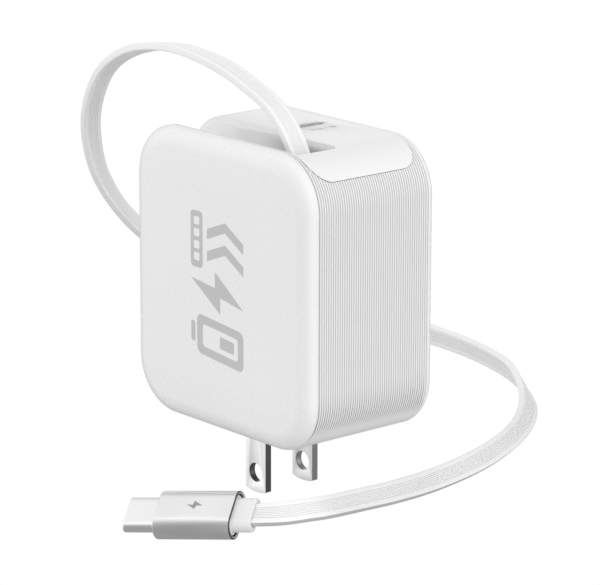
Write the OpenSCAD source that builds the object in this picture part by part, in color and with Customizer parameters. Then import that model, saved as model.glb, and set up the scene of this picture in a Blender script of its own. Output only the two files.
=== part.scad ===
// Wall charger for a laptop: folding two-blade plug, one socket on top and a
// flat lead that winds onto a sprung reel behind the front cover.
// Millimetres. +Z up, -Y is the front cover, +X the right-hand side.
// The origin is the centre of the blade pair on the face that meets the wall.

/* [Housing] */
// Width of the housing, left to right
body_w = 55.7; // [55.0:0.1:57.0]
// Height of the housing without the blades
body_h = 61; // [60.6:0.1:63.0]
// Radius of the four long corners
corner_r = 11.3; // [10:0.1:12]
// Depth of the ribbed band between the two covers
band_d = 28.6; // [28.4:0.1:30]
// Depth of the front cover, also the radius of its edge
front_d = 3.4; // [3.0:0.1:4.0]
// Depth of the rear cover, also the radius of its edge
rear_d = 2.4; // [2.2:0.1:3.0]
// Wall thickness of the housing
wall = 1.8; // [1.6:0.1:2.0]

/* [Outlet blades] */
// Distance between the middles of the two blades
blade_pitch = 12.7; // [12.6:0.05:12.8]
// Width of a blade
blade_w = 6.35; // [6.2:0.05:6.5]
// Thickness of a blade
blade_t = 1.52; // [1.4:0.02:1.6]
// Length of a blade below the housing
blade_l = 15.9; // [15.0:0.1:17.0]
// Diameter of the hole near the tip of a blade
blade_hole = 4.0; // [3.0:0.1:4.2]
// Height of the fold axis above the bottom face
fold_z = 4.4; // [4.3:0.05:4.5]

/* [Reel] */
// Radius of the two reel flanges
reel_r = 20; // [19:0.1:20.2]
// Radius of the drum that the lead winds on
hub_r = 9.5; // [9.2:0.1:9.8]
// Outer radius of the lead left on the reel
coil_r = 13.4; // [12:0.1:14]
// Radius of the axle
axle_r = 2.4; // [2.0:0.1:2.6]

/* [Lead] */
// Width of the flat lead
lead_w = 4.8; // [4.4:0.1:5.0]
// Thickness of the flat lead
lead_t = 1.6; // [1.3:0.1:1.8]
// Width of the plug grip
grip_w = 10.8; // [10.2:0.1:11]
// Thickness of the plug grip
grip_t = 5.5; // [5.3:0.1:5.8]
// Length of the plug grip
grip_l = 16.8; // [16:0.1:18]

/* [Plug channel] */
// Depth of the channel below the top of the housing
chan_depth = 8.8; // [8.4:0.1:9.0]
// Position of the closed right-hand end of the channel
chan_end = 22.3; // [22:0.1:23]

/* [Hidden] */
$fn = 48;
e = 0.01;
bx = 2.6;                       // middle of the housing, left to right
y1 = -15.9;                     // joint between front cover and band
y0 = y1 - front_d;              // front face
y2 = y1 + band_d;               // joint between band and rear cover
y3 = y2 + rear_d;               // rear face
zm = body_h/2;
xl = bx - body_w/2;
xr = bx + body_w/2;
by = blade_pitch/2;             // middle of each blade, front to back
rx = bx; rz = 30.6;             // axis of the reel
ch_y0 = -15.4; ch_y1 = -4.4;    // plug channel, front to back
ch_z = body_h - chan_depth;     // floor of the plug channel
ty0 = -4.4; ty1 = -3.3;         // partition behind the reel
port_y = 4.5;                   // middle of the socket, front to back
pcb_y0 = 11.2; pcb_y1 = 12.4;

// Route of the lead: point, then the direction of its width
LEAD = [
  [[16.9,-10.1,31],[0,1,0]], [[17.8,-10.1,42],[0,1,0]],
  [[18.6,-10.1,51.5],[0,1,0]], [[16.8,-10.1,60],[0,1,0]],
  [[10.6,-10,66.8],[0,1,0]], [[2,-10,70.8],[0,1,0]],
  [[-8.5,-10,73.8],[0,1,0]], [[-22,-10,75],[0,1,-0.1]],
  [[-36,-9.5,72.6],[0,1,-0.15]], [[-48,-8,66.6],[0,1,0]],
  [[-56.25,-5.71,57.6],[0,1,0.15]], [[-61.36,-2.33,48.5],[-0.06,0.9,0.43]],
  [[-63.95,2.46,38.3],[-0.41,0.76,0.51]], [[-63.44,9.74,28.2],[-0.63,0.62,0.48]],
  [[-60.86,20.57,19],[-0.39,0.57,0.72]], [[-61.15,33.33,11],[-0.1,0.5,0.9]],
  [[-64,46.5,3],[0,0.4,1]], [[-68.8,59,-4.8],[0,0.3,1]],
  [[-73.2,69,-9.4],[0,0.15,1]], [[-76.6,78,-12.5],[0,0,1]],
  [[-77.4,86.4,-13.4],[0,0,1]], [[-73.9,93.2,-13.4],[0,0,1]],
  [[-65.5,97.3,-13.4],[0,-0.1,1]], [[-53,97.2,-13.4],[-0.01,-0.18,0.98]],
  [[-40.3,95.2,-13.4],[-0.06,-0.2,0.98]], [[-26.5,90.8,-13.4],[-0.12,-0.23,0.96]],
  [[-13.78,83.26,-13.4],[-0.29,-0.43,0.86]], [[-2.91,74.34,-13.5],[-0.48,-0.5,0.72]],
  [[6.33,63.62,-13.61],[-0.61,-0.44,0.66]], [[14,51,-13.5],[-0.63,-0.3,0.72]],
  [[19.81,36.71,-13.5],[-0.65,-0.18,0.74]], [[23.65,21.2,-13.36],[-0.7,-0.1,0.71]],
  [[27.33,6.96,-12.07],[-0.71,-0.14,0.68]], [[30.42,-5.22,-10.43],[-0.72,-0.16,0.67]],
  [[33.46,-16.28,-8.75],[-0.72,-0.21,0.65]], [[33.36,-21.34,-8.3],[-0.74,0.13,0.65]],
  [[31.13,-26.48,-8.55],[-0.6,0.45,0.65]], [[26.64,-30.14,-9.26],[-0.45,0.69,0.57]]
];
// Plug: where the lead meets it, and how it lies
PLUG_AT = [27.25,-29.81,-9.18];
PLUG_TURN = [-35,6.8,-151.6];

// ---------- helpers ----------
module rrect(w,h,r) {
  union() {
    square([w-2*r,h],center=true);
    square([w,h-2*r],center=true);
    for (sx=[-1,1],sy=[-1,1]) translate([sx*(w/2-r),sy*(h/2-r)]) circle(r);
  }
}
// Housing outline pulled in by "inset", from ya to yb
module prism(ya,yb,inset=0) {
  translate([bx,yb,zm]) rotate([90,0,0]) linear_extrude(yb-ya)
    rrect(body_w-2*inset,body_h-2*inset,corner_r-inset);
}
// Outline ring as points: inset, then position front to back
function arc_pts(inset) = let(r=corner_r-inset,w=body_w/2-corner_r,h=body_h/2-corner_r)
  [ for (q=[0:3],k=[0:9]) let(a=q*90+k*10,sx=(q==0||q==3)?1:-1,sz=(q<2)?1:-1)
      [bx+sx*w+r*cos(a), zm+sz*h+r*sin(a)] ];
// Outline with its far edge rounded; d is both depth and radius, dir is -1 or 1
module pillow(ys,d,dir) {
  st = [[0,0],[0.3,0.046],[0.55,0.165],[0.78,0.374],[0.93,0.632],[1,1]];
  n = 40; m = len(st);
  pts = [ for (q=st) for (p=arc_pts(d*q[1])) [p[0],ys+dir*d*q[0],p[1]] ];
  f = concat([[for (k=[0:n-1]) k]],
    [for (j=[0:m-2],k=[0:n-1]) [j*n+k,(j+1)*n+k,(j+1)*n+(k+1)%n,j*n+(k+1)%n]],
    [[for (k=[n-1:-1:0]) (m-1)*n+k]]);
  polyhedron(points=pts,faces=dir>0?[for (q=f) [for (k=[len(q)-1:-1:0]) q[k]]]:f);
}
module box(a,b) { translate(a) cube([b[0]-a[0],b[1]-a[1],b[2]-a[2]]); }
// Cylinder along Y from ya to yb
module ycyl(x,z,r,ya,yb) { translate([x,yb,z]) rotate([90,0,0]) cylinder(r=r,h=yb-ya); }
// Flat oval bar along X, w wide in Y and t thick in Z
module oval(w,t) { union() { square([w-t,t],center=true); for (s=[-1,1]) translate([s*(w-t)/2,0]) circle(t/2); } }
module xoval(x0,x1,w,t) { translate([x0,0,0]) rotate([90,0,90]) linear_extrude(x1-x0) oval(w,t); }
// Area of the top cap, seen along X
module cap_zone(g=0) {
  ya=-15.3-g; yb=12.1+g; za=55.8-g; r=4.6+g;
  translate([xl-2,0,0]) rotate([90,0,90]) linear_extrude(body_w+4) union() {
    translate([ya,za+r]) square([yb-ya,12]);
    translate([ya+r,za]) square([yb-ya-2*r,14]);
    translate([ya+r,za+r]) circle(r);
    translate([yb-r,za+r]) circle(r);
  }
}
// The plug channel as a solid, open at the left
module channel_cut(top=3) {
  translate([xl-3,ch_y0,ch_z]) cube([chan_end-1.2-xl+3,ch_y1-ch_y0,chan_depth+top]);
  translate([chan_end-2,ch_y0+1.2,ch_z]) cube([2,ch_y1-ch_y0-2.4,chan_depth+top]);
  for (y=[ch_y0+1.2,ch_y1-1.2]) translate([chan_end-1.2,y,ch_z]) cylinder(r=1.2,h=chan_depth+top);
}
function boss_pts() = [[-21.3,14.6],[26.5,14.6],[-21.3,46.5],[26.5,46.5]];

// ---------- housing ----------
module front_cover() color("#f2f2f3") union() {
  difference() {
    pillow(y1,front_d,-1);
    prism(y1-front_d+wall,y1+1,wall+0.4);
  }
  // locating rim that enters the band, open below the channel
  difference() {
    prism(y1-0.5,y1+1.2,wall+0.15);
    prism(y1-1,y1+2,wall+1.1);
    box([xl-1,y1-1,ch_z-3],[xr+1,y1+2,body_h+1]);
    box([-9,y1-0.02,-1],[25,y1+2,4]);
  }
}
module mid_frame() color("#ececee") difference() {
  union() {
    difference() {
      prism(y1,y2,0);
      prism(y1-1,y2+1,wall);
    }
    // bosses for the partition
    for (p=boss_pts()) intersection() {
      union() {
        ycyl(p[0],p[1],2.3,ty1+0.02,7);
        box([p[0]<0?xl+1:p[0],ty1+0.02,p[1]-1],[p[0]<0?p[0]:xr-1,7,p[1]+1]);
      }
      prism(y1,y2,0.5);
    }
  }
  cap_zone(0.12);
  // plug channel, open on the left
  intersection() { channel_cut(); box([xl-3,ch_y0,ch_z-0.0],[xr,ch_y1+0.0,body_h+5]); }
  // opening for the blade housing
  box([-7.1,-10.3,-1],[23.3,10.3,5]);
  for (p=boss_pts()) ycyl(p[0],p[1],1.0,-4,5.5);
}
// Back wall and right-hand end of the channel
module channel_walls(za,zb) {
  box([xl,ch_y1-1.3,za],[chan_end+1.1,ty1,zb]);
  box([chan_end-1.3,ch_y0+0.1,za],[chan_end+1.1,ty1,zb]);
}
module top_cap() color("#f4f4f5") difference() {
  union() {
    intersection() {
      union() {
        difference() { prism(y1,y2,0); prism(y1-1,y2+1,wall); }
        // skirt of the socket opening
        box([bx-3.4,port_y-6,body_h-wall-1.2],[bx+3.4,port_y+6,body_h-wall+0.2]);
      }
      cap_zone(0);
    }
    intersection() { channel_walls(ch_z+0.02,body_h-wall); prism(y1,y2,wall+0.1); }
    intersection() { channel_walls(56,body_h-0.5); prism(y1,y2,wall-0.3); }
  }
  channel_cut();
  // socket opening, flared
  translate([bx,port_y,body_h-5]) linear_extrude(8) rotate(90) oval(9.3,3.5);
}
module rear_cover() color("#efeff1") difference() {
  pillow(y2,rear_d,1);
  prism(y2-1,y3-wall+0.2,wall+0.4);
}
module channel_liner() color("#e9e9eb") difference() {
  intersection() {
    union() {
      box([xl+1.1,y1+0.02,ch_z-1.2],[chan_end+1.1,ty1,ch_z]);
      box([xl+1.1,y1+0.02,ch_z-1.2],[chan_end+1.1,ch_y0,body_h-wall-0.05]);
    }
    prism(y1,y2,wall+0.1);
  }
  channel_cut();
  // seat of the lead's guide
  box([14.9,-14.1,ch_z-2],[22.1,-6.1,ch_z+1]);
}
module cable_guide() color("#e4e4e6") difference() {
  union() {
    box([15,-14,ch_z-1.2],[22,-6.2,ch_z]);
    box([15.6,-13.8,ch_z-e],[21.8,-6.4,ch_z+1.6]);
  }
  // slot that the lead runs through
  translate([18.5,-10.1,ch_z-3]) linear_extrude(8) rotate(90) rrect(lead_w+0.9,lead_t+1.4,0.9);
}
module reel_tray() color("#d9dadd") difference() {
  union() {
    intersection() {
      prism(ty0,ty1,wall+0.25);
      box([xl,ty0-1,10.6],[xr,ty1+1,ch_z-1.45]);
    }
    ycyl(rx,rz,4.4,ty0-0.9,ty0+0.1);
  }
  for (p=boss_pts()) ycyl(p[0],p[1],1.25,ty0-1,ty1+1);
  ycyl(rx,rz,1.9,ty0-2,ty1+1);
  ycyl(rx-15,rz+11,0.75,ty0-1,ty1+1);
}
module screw_at(p) color("#9a9ca0") difference() {
  union() {
    ycyl(p[0],p[1],1.9,ty0-1.2,ty0-0.02);
    ycyl(p[0],p[1],0.96,ty0-0.5,4.5);
  }
  ycyl(p[0],p[1],0.8,ty0-1.5,ty0-0.7);
}
module tray_screw_a() screw_at(boss_pts()[0]);
module tray_screw_b() screw_at(boss_pts()[1]);
module tray_screw_c() screw_at(boss_pts()[2]);
module tray_screw_d() screw_at(boss_pts()[3]);

// ---------- reel ----------
module reel_axle() color("#b4b6ba") union() {
  ycyl(rx,rz,axle_r,-16.4,ty0-0.92);
  ycyl(rx,rz,1.88,ty0-1.0,ty1-0.05);
}
module reel_retainer() color("#8f9196") difference() {
  ycyl(rx,rz,3.6,-17.2,-16.42);
  ycyl(rx,rz,1.1,-17.3,-17.0);
}
module spool_body() color("#dcdde0") difference() {
  union() {
    ycyl(rx,rz,reel_r,-7.3,-6.6);
    ycyl(rx,rz,hub_r,-12.88,-7.2);
    // ratchet ring behind the flange
    difference() {
      ycyl(rx,rz,12.6,-6.65,-5.7);
      ycyl(rx,rz,10.6,-6.6,-5.6);
      for (a=[0:30:330]) translate([rx,0,rz]) rotate([0,a,0]) box([11.6,-7,-0.9],[14,-5.6,0.9]);
    }
  }
  ycyl(rx,rz,axle_r+0.06,-13.5,-5);
  // slot for the end of the lead
  box([rx+2.9,-12.95,rz+6.2],[rx+10,-7.6,rz+7.4]);
}
module spool_cover() color("#dcdde0") difference() {
  ycyl(rx,rz,reel_r,-13.6,-12.9);
  ycyl(rx,rz,axle_r+0.06,-14,-12);
  for (a=[20:60:320]) translate([rx,0,rz]) rotate([0,a,0]) ycyl(16.9,0,1.6,-14,-12);
}
module cable_wound() color("#f0f0f1") translate([rx,-10.1,rz]) rotate([90,0,0])
  rotate_extrude() translate([hub_r+0.05,-lead_w/2]) square([coil_r-hub_r-0.05,lead_w]);
module spring_cup() color("#c9cbcf") difference() {
  ycyl(rx,rz,9.2,-16.4,-13.61);
  ycyl(rx,rz,8.5,-17,-14.3);
  ycyl(rx,rz,axle_r+0.06,-17,-13);
}
// Flat spiral strip between the axle and the cup
sp_n = 72; sp_turns = 3.2; sp_th = 0.32; sp_r0 = axle_r+0.15; sp_r1 = 8.25;
function sp(i,o) = let(t=i/sp_n,a=360*sp_turns*t,r=sp_r0+(sp_r1-sp_r0-sp_th)*t+o) [r*cos(a),r*sin(a)];
module spiral_spring() color("#7d8085") translate([rx,-14.6,rz]) rotate([90,0,0])
  linear_extrude(1.7) polygon(concat([for (i=[0:sp_n]) sp(i,0)],[for (i=[sp_n:-1:0]) sp(i,sp_th)]));
module slip_ring_board() color("#2f6b46") difference() {
  ycyl(rx,rz,9.0,-6.58,-6.1);
  ycyl(rx,rz,axle_r+0.9,-7,-5);
}
module brush(z) {
  box([rx-9.5,ty0-0.35,z-1],[rx-6.2,ty0-0.02,z+1]);
  box([rx-6.4,ty0-1.3,z-0.7],[rx-6.1,ty0-0.02,z+0.7]);
  box([rx-6.4,ty0-1.5,z-0.7],[rx-4.9,ty0-1.25,z+0.7]);
}
module contact_brush_a() color("#c8a24a") brush(rz+2.2);
module contact_brush_b() color("#c8a24a") brush(rz-2.2);
// Pawl that drops into the ratchet ring
px_ = rx-15; pz_ = rz+11;
module latch_pawl() color("#e8e8ea") translate([px_,-5.45,pz_]) rotate([90,0,0])
  linear_extrude(0.9) difference() {
    union() { circle(2.0); rotate(-36) translate([0.5,-1.1]) square([4.4,2.2]); }
    circle(0.78);
  }
module latch_pin() color("#9a9ca0") ycyl(px_,pz_,0.7,-6.45,ty1);
module latch_spring() color("#7d8085") union() {
  box([px_-6.5,-6.1,pz_+2.6],[px_+0.5,-5.6,pz_+2.85]);
  box([px_-6.5,-6.1,pz_+2.6],[px_-6.1,ty0,pz_+4.2]);
}

// ---------- folding blades ----------
module blade_base() color("#e6e6e8") difference() {
  union() {
    intersection() {
      box([-7,-10.2,0],[23.2,10.2,10]);
      prism(y1,y2,0);
    }
    intersection() { box([-8.4,-11.2,wall+0.35],[23.8,11.2,wall+1.5]); prism(y1,y2,wall+0.3); }
  }
  // room for the turning carrier
  ycyl(0,fold_z,4.55,-9.1,9.1);
  box([-4.55,-9.1,-1],[4.55,9.1,fold_z]);
  // grooves that the blades fold into
  for (s=[-1,1]) box([0,s*by-1.15,-1],[21.3,s*by+1.15,fold_z+blade_w/2+0.45]);
  // finger scoop across the folded tips
  translate([17.2,0,-2.6]) rotate([90,0,0]) cylinder(r=5,h=16,center=true);
  // opening for the contacts above the carrier
  box([-5.2,-8.4,8.3],[4.2,8.4,11]);
  ycyl(0,fold_z,1.0,-11.5,11.5);
}
module blade_carrier() color("#dedee0") difference() {
  ycyl(0,fold_z,4.2,-8.8,8.8);
  ycyl(0,fold_z,1.06,-10,10);
  for (s=[-1,1]) {
    box([-blade_w/2,s*by-blade_t/2,-1],[blade_w/2,s*by+blade_t/2,fold_z+1.9]);
    box([-1.25,s*by-blade_t/2,0],[1.25,s*by+blade_t/2,fold_z+5]);
  }
  // flats that the detent spring rests on
  box([-5,-3.4,fold_z+3.9],[5,3.4,fold_z+5]);
  box([3.9,-3.4,fold_z-5],[5,3.4,fold_z+5]);
}
module blade(s) color("#c9cbce") difference() {
  union() {
    box([-blade_w/2,s*by-blade_t/2,-blade_l+2],[blade_w/2,s*by+blade_t/2,fold_z+1.85]);
    // tail that meets the contact leaf
    box([-1.2,s*by-blade_t/2,fold_z+1.8],[1.2,s*by+blade_t/2,fold_z+4.1]);
    intersection() {
      box([-blade_w/2,s*by-blade_t/2,-blade_l],[blade_w/2,s*by+blade_t/2,-blade_l+2.5]);
      ycyl(0,-blade_l+11,11,-10,10);
    }
  }
  ycyl(0,-11.65,blade_hole/2,s*by-2,s*by+2);
  ycyl(0,fold_z,1.3,s*by-2,s*by+2);
}
module blade_front() blade(-1);
module blade_rear() blade(1);
module blade_pin() color("#9a9ca0") ycyl(0,fold_z,0.98,-10.1,10.1);
module blade_detent() color("#8b8d92") box([-3.75,-3.1,8.72],[3.6,3.1,9.0]);
module contact_leaf_front() color("#c8a24a") union() {
  box([-4.9,-7.2,8.75],[3,-5.5,9.05]);
  box([-4.9,-7.2,8.75],[-3.9,-1.6,9.05]);
  box([-4.9,-2.9,8.75],[-4.6,-1.6,15.5]);
}
module contact_leaf_rear() color("#c8a24a") union() {
  box([-4.9,5.5,8.75],[3,7.2,9.05]);
  box([-4.9,5.5,8.75],[-4.6,7.2,15.5]);
}
module contact_block() color("#3b3d41") difference() {
  box([-4.4,-8.3,9.1],[4.1,8.3,10]);
  box([-1.5,-1.5,9],[1.5,1.5,11]);
}

// ---------- electronics ----------
module main_board() color("#27663f") difference() {
  box([-20,pcb_y0,12.5],[25.2,pcb_y1,56]);
  for (x=[-17.5,22.7],z=[15,53.5]) ycyl(x,z,1.1,pcb_y0-1,pcb_y1+1);
}
module transformer_core() color("#4a4c50") union() {
  difference() {
    box([-12,-1.9,25],[4,11.15,42]);
    box([-13,0.4,27.6],[5,8.8,39.4]);
  }
  translate([-4,4.6,27.5]) cylinder(r=2.7,h=12);
}
module transformer_winding() color("#d9b23c") difference() {
  translate([-4,4.6,27.9]) cylinder(r=4.05,h=11.2);
  translate([-4,4.6,27]) cylinder(r=2.78,h=13);
}
module can(x,z,r,h,c) color(c) difference() {
  translate([x,5.6,z]) cylinder(r=r,h=h);
  translate([x,5.6,z+h-0.25]) cylinder(r=r-1,h=1);
}
module bulk_capacitor_a() can(10.2,25.5,4.5,15,"#2c2f36");
module bulk_capacitor_b() can(20.2,25.5,4.5,15,"#2c2f36");
module output_capacitor() can(-17,34.6,3.6,9,"#30343c");
module line_choke() color("#5b3a24") translate([-16.6,5.2,21.6]) rotate([90,0,0])
  difference() {
    rotate_extrude() translate([3.4,0]) circle(1.7);
    translate([-0.6,0.5,-3]) cube([1.2,6,6]);
  }
module line_capacitor() color("#c9a227") difference() {
  box([6.4,4.2,13.5],[18.4,11.15,23.5]);
  box([7.4,4,13],[17.4,4.4,14]);
}
module line_fuse() color("#7a3b32") translate([-8,8.4,18]) rotate([0,90,0]) union() {
  cylinder(r=1.9,h=10);
  translate([0,0,-0.6]) cylinder(r=1.3,h=11.2);
}
module bridge_rectifier() color("#25272b") box([19.8,8.6,14],[24.6,11.15,22]);
module power_switch() color("#1f2125") difference() {
  box([9,9.9,46],[16,11.15,53]);
  ycyl(10,52,0.4,9.7,10.1);
}
module heat_spreader() color("#b9bbbf") union() {
  box([8,9.0,45.2],[18,9.8,53.6]);
  box([8,3.5,52.9],[18,9.1,53.6]);
}
module insulation_sheet() color("#d8cfb8") box([-13.5,-2.75,24],[25,-2.45,43.5]);
module port_shell() color("#c2c4c8") difference() {
  translate([bx,port_y,51.6]) linear_extrude(9.1) rotate(90) oval(8.94,3.16);
  translate([bx,port_y,52.4]) linear_extrude(9) rotate(90) oval(8.34,2.56);
}
module port_tongue() color("#26282c") union() {
  box([bx-0.35,port_y-3.35,52.42],[bx+0.35,port_y+3.35,58.6]);
  translate([bx,port_y,52.42]) linear_extrude(1.4) rotate(90) oval(8.2,2.42);
}
module port_board() color("#27663f") difference() {
  box([-6.5,-1.6,50.3],[7.8,11.1,51.5]);
  ycyl(-5.5,51,0.3,0,1);
}

// ---------- lead and plug ----------
function cr(p,t) = 0.5*((2*p[1])+(p[2]-p[0])*t+(2*p[0]-5*p[1]+4*p[2]-p[3])*t*t+(3*p[1]-p[0]-3*p[2]+p[3])*t*t*t);
function crd(p,t) = 0.5*((p[2]-p[0])+2*(2*p[0]-5*p[1]+4*p[2]-p[3])*t+3*(3*p[1]-p[0]-3*p[2]+p[3])*t*t);
function unit(v) = v/norm(v);
LN = len(LEAD);
function col(i,k) = i<0 ? 2*LEAD[0][k]-LEAD[1][k] : i>=LN ? 2*LEAD[LN-1][k]-LEAD[LN-2][k] : LEAD[i][k];
function quad4(i,k) = [col(i-1,k),col(i,k),col(i+1,k),col(i+2,k)];
function ring(i,t) =
  let(c=cr(quad4(i,0),t), d=unit(crd(quad4(i,0),t)), w0=cr(quad4(i,1),t),
      w=unit(w0-(w0*d)*d), n=cross(d,w), a=lead_w/2, b=lead_t/2, q=b*0.62)
  [ for (s=[[a,b-q],[a-q,b],[-a+q,b],[-a,b-q],[-a,-b+q],[-a+q,-b],[a-q,-b],[a,-b+q]]) c+w*s[0]+n*s[1] ];
module cable_free() color("#f0f0f1") {
  rings = [ for (i=[0:LN-2],t=[0,0.5]) ring(i,t), ring(LN-2,1) ];
  m = len(rings);
  polyhedron(points=[for (r=rings) for (p=r) p],
    faces=concat([[for (k=[7:-1:0]) k]],
      [for (j=[0:m-2],k=[0:7]) [j*8+k,j*8+(k+1)%8,(j+1)*8+(k+1)%8,(j+1)*8+k]],
      [[for (k=[0:7]) (m-1)*8+k]]));
}
module at_plug() { translate(PLUG_AT) rotate(PLUG_TURN) children(); }
module plug_collar() color("#f0f0f1") at_plug() difference() {
  xoval(0,4.2,7.7,3.5);
  xoval(-1,0.9,lead_w+0.7,lead_t+0.6);
}
module plug_overmould() color("#ededef") at_plug() difference() {
  union() {
    xoval(4.22,6.1,grip_w-1.75,grip_t-1.75);
    xoval(6,3.8+grip_l-0.5,grip_w-1.3,grip_t-1.3);
  }
  xoval(9,3.8+grip_l,8.3,2.45);
}
module plug_grip() color("#b9bbbe") at_plug() difference() {
  xoval(3.8,3.8+grip_l,grip_w,grip_t);
  xoval(3,3.8+grip_l-0.45,grip_w-1.25,grip_t-1.25);
  xoval(3,5+grip_l,8.35,2.5);
}
module plug_shell() color("#d5d6d8") at_plug() difference() {
  xoval(13,3.8+grip_l+7.05,8.25,2.4);
  xoval(12,6+grip_l+7,7.65,1.8);
}
module plug_insert() color("#3a3c40") at_plug() difference() {
  xoval(13.2,3.8+grip_l+6.65,7.6,1.75);
  xoval(3.8+grip_l+0.2,6+grip_l+7,6.9,0.9);
}
module plug_board() color("#27663f") at_plug() xoval(9.2,12.95,7.6,1.0);

front_cover();
mid_frame();
top_cap();
rear_cover();
channel_liner();
cable_guide();
reel_tray();
tray_screw_a();
tray_screw_b();
tray_screw_c();
tray_screw_d();
reel_axle();
reel_retainer();
spool_body();
spool_cover();
cable_wound();
spring_cup();
spiral_spring();
slip_ring_board();
contact_brush_a();
contact_brush_b();
latch_pawl();
latch_pin();
latch_spring();
blade_base();
blade_carrier();
blade_front();
blade_rear();
blade_pin();
blade_detent();
contact_leaf_front();
contact_leaf_rear();
contact_block();
main_board();
transformer_core();
transformer_winding();
bulk_capacitor_a();
bulk_capacitor_b();
output_capacitor();
line_choke();
line_capacitor();
line_fuse();
bridge_rectifier();
power_switch();
heat_spreader();
insulation_sheet();
port_shell();
port_tongue();
port_board();
cable_free();
plug_collar();
plug_overmould();
plug_grip();
plug_shell();
plug_insert();
plug_board();
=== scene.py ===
import math

import bmesh
import bpy
import numpy as np
from mathutils import Matrix, Vector


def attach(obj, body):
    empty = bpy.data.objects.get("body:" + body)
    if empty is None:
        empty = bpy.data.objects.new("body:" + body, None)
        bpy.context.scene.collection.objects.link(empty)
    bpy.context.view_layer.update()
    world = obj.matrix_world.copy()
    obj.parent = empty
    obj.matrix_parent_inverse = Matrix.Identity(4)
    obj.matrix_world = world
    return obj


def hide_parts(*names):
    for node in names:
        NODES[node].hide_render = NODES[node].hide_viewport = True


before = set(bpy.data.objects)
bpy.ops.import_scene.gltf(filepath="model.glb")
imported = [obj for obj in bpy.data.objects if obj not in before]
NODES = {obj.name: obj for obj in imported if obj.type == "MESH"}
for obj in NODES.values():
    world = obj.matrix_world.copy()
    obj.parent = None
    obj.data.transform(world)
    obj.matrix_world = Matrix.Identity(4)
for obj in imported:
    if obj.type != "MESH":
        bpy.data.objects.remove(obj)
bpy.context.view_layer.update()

MM = 0.001
SC = bpy.context.scene


# ------------------------------------------------------------------ camera
def make_camera():
    cam = bpy.data.cameras.new("camera")
    cam.sensor_fit = "HORIZONTAL"
    cam.sensor_width = 36.0
    cam.lens = 36.0 * 3438.8 / 600.0
    cam.shift_x = (300.0 - 291.685) / 600.0
    cam.shift_y = (294.233 - 292.5) / 600.0
    cam.clip_start = 0.01
    cam.clip_end = 50.0
    ob = bpy.data.objects.new("camera", cam)
    SC.collection.objects.link(ob)
    right = Vector((0.646746, 0.762704, 0.001180)).normalized()
    back = Vector((0.737124, -0.625451, 0.255850)).normalized()
    up = back.cross(right).normalized()
    right = up.cross(back).normalized()
    m = Matrix.Identity(4)
    for i in range(3):
        m[i][0], m[i][1], m[i][2] = right[i], up[i], back[i]
    m[0][3], m[1][3], m[2][3] = 0.523872, -0.441874, 0.206761
    ob.matrix_world = m
    SC.camera = ob


make_camera()


# ------------------------------------------------------------------ materials
def nd(nt, kind, x, y, **inputs):
    n = nt.nodes.new(kind)
    n.location = (x, y)
    for k, v in inputs.items():
        n.inputs[k.replace("_", " ")].default_value = v
    return n


def surface(name, colour, rough, metallic=0.0, var=0.02, rough_var=0.05, grain=900.0, bump=0.02,
            depth=0.00004, stretch=(1.0, 1.0, 1.0), ior=1.46, spec=0.5, coat=0.0, sss=0.0, tint=None, mottle=60.0):
    """Procedural finish: colour drifts over the piece, roughness has a grain and the surface a fine bump."""
    m = bpy.data.materials.new(name)
    m.use_nodes = True
    nt = m.node_tree
    nt.nodes.clear()
    out = nd(nt, "ShaderNodeOutputMaterial", 900, 0)
    b = nd(nt, "ShaderNodeBsdfPrincipled", 600, 0)
    b.inputs["Metallic"].default_value = metallic
    b.inputs["IOR"].default_value = ior
    b.inputs["Specular IOR Level"].default_value = spec
    if coat:
        b.inputs["Coat Weight"].default_value = coat
        b.inputs["Coat Roughness"].default_value = 0.08
    if sss:
        b.inputs["Subsurface Weight"].default_value = sss
        b.inputs["Subsurface Radius"].default_value = (0.6, 0.6, 0.6)
        b.inputs["Subsurface Scale"].default_value = 0.001
    nt.links.new(b.outputs["BSDF"], out.inputs["Surface"])
    tc = nd(nt, "ShaderNodeTexCoord", -1100, 0)
    mp = nd(nt, "ShaderNodeMapping", -900, 0)
    mp.inputs["Scale"].default_value = stretch
    nt.links.new(tc.outputs["Object"], mp.inputs["Vector"])
    big = nd(nt, "ShaderNodeTexNoise", -650, 200, Scale=mottle, Detail=3.0, Roughness=0.5)
    fine = nd(nt, "ShaderNodeTexNoise", -650, -150, Scale=grain, Detail=4.0, Roughness=0.6)
    nt.links.new(tc.outputs["Object"], big.inputs["Vector"])
    nt.links.new(mp.outputs["Vector"], fine.inputs["Vector"])
    ramp = nd(nt, "ShaderNodeValToRGB", -350, 250)
    c = np.array(colour[:3], float)
    t = c if tint is None else np.array(tint[:3], float)
    lo, hi = np.clip(t * (1 - var), 0, 1), np.clip(c * (1 + var), 0, 1)
    ramp.color_ramp.elements[0].position = 0.3
    ramp.color_ramp.elements[1].position = 0.7
    ramp.color_ramp.elements[0].color = (*lo, 1)
    ramp.color_ramp.elements[1].color = (*hi, 1)
    nt.links.new(big.outputs["Fac"], ramp.inputs["Fac"])
    nt.links.new(ramp.outputs["Color"], b.inputs["Base Color"])
    mr = nd(nt, "ShaderNodeMapRange", -350, -50)
    mr.inputs["From Min"].default_value = 0.3
    mr.inputs["From Max"].default_value = 0.7
    mr.inputs["To Min"].default_value = max(0.02, rough - rough_var)
    mr.inputs["To Max"].default_value = min(1.0, rough + rough_var)
    nt.links.new(fine.outputs["Fac"], mr.inputs["Value"])
    nt.links.new(mr.outputs["Result"], b.inputs["Roughness"])
    bp = nd(nt, "ShaderNodeBump", 100, -250)
    bp.inputs["Strength"].default_value = min(1.0, bump * 10)
    bp.inputs["Distance"].default_value = depth
    nt.links.new(fine.outputs["Fac"], bp.inputs["Height"])
    nt.links.new(bp.outputs["Normal"], b.inputs["Normal"])
    return m


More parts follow.
